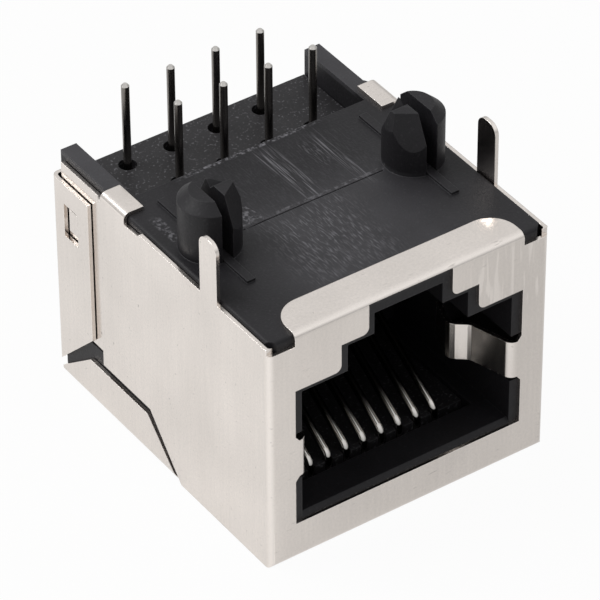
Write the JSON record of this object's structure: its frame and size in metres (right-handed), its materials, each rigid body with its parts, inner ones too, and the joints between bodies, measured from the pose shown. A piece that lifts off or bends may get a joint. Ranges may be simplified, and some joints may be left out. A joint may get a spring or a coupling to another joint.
{
  "type": "rj45 board jack",
  "caption": "Shielded modular jack for a circuit board, lying on its flat face: folded metal shield with a stepped port, black moulding with split locating pegs, staggered wire tails.",
  "frame": {"origin": "centre of the footprint on the flat face that the jack lies on", "axes": "+X across the port, +Y from the port's mouth to the rear, +Z from the flat face towards the board side, where pegs and tails stand"},
  "size_m": [0.0158, 0.018, 0.0164],
  "materials": {
    "nickel_sheet": "satin nickel plate",
    "housing_black": "satin moulded",
    "carrier_black": "fine spark-eroded grain",
    "contact_wire": "bright drawn wire"
  },
  "bodies": {
    "root": {"shield": "nickel_sheet", "housing": "housing_black", "carrier": "carrier_black", "contact_1": "contact_wire", "contact_2": "contact_wire", "contact_3": "contact_wire", "contact_4": "contact_wire", "contact_5": "contact_wire", "contact_6": "contact_wire", "contact_7": "contact_wire", "contact_8": "contact_wire"}
  },
  "joints": []
}
